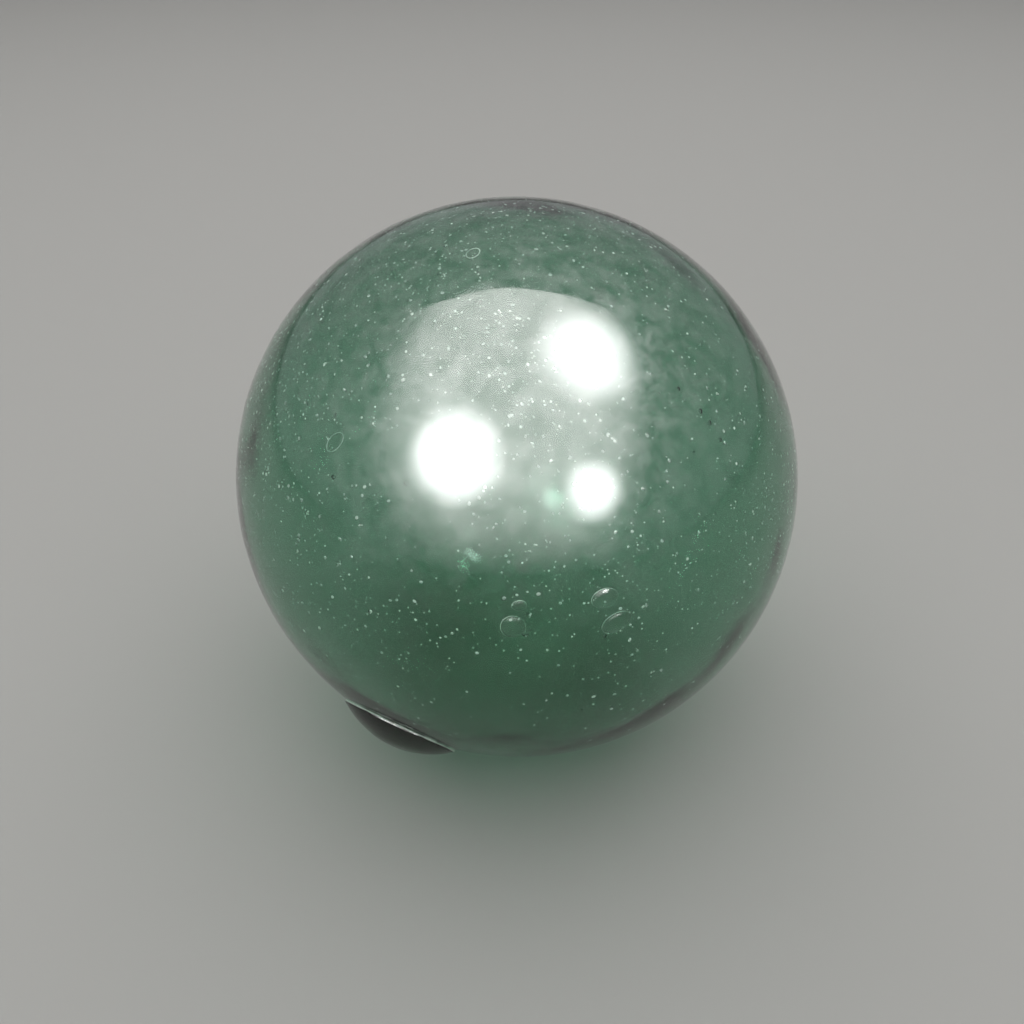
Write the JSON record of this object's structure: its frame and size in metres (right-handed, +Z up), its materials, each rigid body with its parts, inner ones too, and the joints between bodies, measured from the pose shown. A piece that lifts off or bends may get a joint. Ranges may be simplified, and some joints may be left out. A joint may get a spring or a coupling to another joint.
{
  "type": "glass float ball",
  "caption": "Hand-blown sea-green glass fishing float: a sealed round ball, closed by a domed button of melted glass.",
  "frame": {"origin": "middle of the small flat spot that the ball stands on", "axes": "+Z up; +Y away from the front; the seal button is low on the front, towards -X"},
  "size_m": [0.3042, 0.3035, 0.3031],
  "materials": {
    "sea_glass": "clear sea-green blown glass, fire-polished, full of seeds, with small bubbles and light scuffs",
    "seal_glass": "the same glass, thicker and so darker, with the marks of being pressed on"
  },
  "bodies": {
    "root": {"float_ball": "sea_glass", "seal_button": "seal_glass"}
  },
  "joints": []
}
